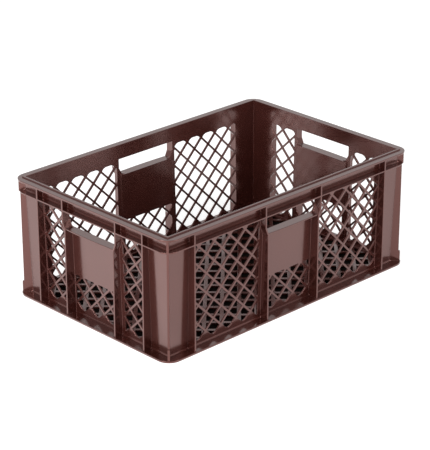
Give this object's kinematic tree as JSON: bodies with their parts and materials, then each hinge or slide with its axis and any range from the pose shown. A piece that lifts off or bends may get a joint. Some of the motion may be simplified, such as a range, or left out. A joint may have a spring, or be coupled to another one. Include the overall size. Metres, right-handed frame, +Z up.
{
  "type": "bakery crate",
  "caption": "Open-topped stacking crate moulded in one piece from brown plastic, with gridded walls and floor and a hand hole in each side.",
  "frame": {"origin": "middle of the foot's underside, on the ground", "axes": "+X along the long side, +Y along the short side, +Z up through the open top"},
  "size_m": [0.6, 0.4, 0.225],
  "materials": {
    "moulded_plastic": "glossy moulded polyethylene, reddish chocolate brown"
  },
  "bodies": {
    "root": {"crate": "moulded_plastic"}
  },
  "joints": []
}
